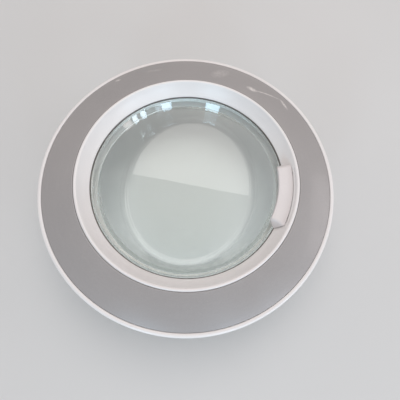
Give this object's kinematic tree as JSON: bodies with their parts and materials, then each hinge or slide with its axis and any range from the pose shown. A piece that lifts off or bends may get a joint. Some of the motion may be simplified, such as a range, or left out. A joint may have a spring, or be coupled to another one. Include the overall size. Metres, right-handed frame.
{
  "type": "washing machine door",
  "caption": "Round porthole door of a front-loading washing machine: clear glass bowl with a slanted floor, white frame, silver-grey ring, pull handle with latch hook, and a goose-neck hinge.",
  "frame": {"origin": "middle of the hinge bracket's four screw holes, on the plane of the machine's front panel", "axes": "+Z out of the door's front, along the door's axis; +X from the hinge to the handle; +Y to the top of the door"},
  "size_m": [0.4002, 0.4002, 0.1076],
  "materials": {
    "white_plastic": "satin moulded",
    "handle_plastic": "satin moulded",
    "silver_paint": "silver-grey lacquer",
    "clear_glass": "clear pressed",
    "seal_rubber": "matt",
    "zinc_steel": "zinc plated",
    "bright_steel": "ground",
    "spring_steel": "drawn wire",
    "cast_zinc": "die-cast zinc, plain",
    "bush_plastic": "matt moulded"
  },
  "bodies": {
    "bracket": {"hinge_bracket": "zinc_steel", "hinge_bush_upper": "bush_plastic", "hinge_bush_lower": "bush_plastic"},
    "door": {"front_frame": "white_plastic", "decor_ring": "silver_paint", "door_glass": "clear_glass", "glass_seal": "seal_rubber", "back_frame": "white_plastic", "frame_screws": "zinc_steel", "handle_pin": "bright_steel", "handle_spring": "spring_steel", "hook_pin": "bright_steel", "hook_spring": "spring_steel", "latch_bracket": "zinc_steel", "latch_screws": "zinc_steel", "hinge_arm": "cast_zinc", "arm_screws": "zinc_steel", "hinge_pin": "bright_steel", "pin_clip": "spring_steel"},
    "handle": {"handle": "handle_plastic"},
    "hook": {"latch_hook": "cast_zinc"}
  },
  "joints": [
    {"name": "door_swing", "type": "hinge", "parent": "bracket", "child": "door", "pos_m": [-0.03, 0, 0.0175], "axis": [0, -1, 0], "range_deg": [0, 125]},
    {"name": "handle_pull", "type": "hinge", "parent": "door", "child": "handle", "pos_m": [0.308, 0, 0.033], "axis": [0, 1, 0], "range_deg": [0, 15], "stiffness_Nm_per_rad": 0.8, "springref_deg": -8.59, "deforming": ["handle_spring"]},
    {"name": "hook_turn", "type": "hinge", "parent": "door", "child": "hook", "pos_m": [0.3308, 0, 0.016], "axis": [0, 1, 0], "range_deg": [-11.25, 0], "stiffness_Nm_per_rad": 0.3, "springref_deg": 8.59, "deforming": ["hook_spring"]}
  ],
  "couplings": [
    {"joint": "hook_turn", "follows": "handle_pull", "ratio": -0.75}
  ]
}
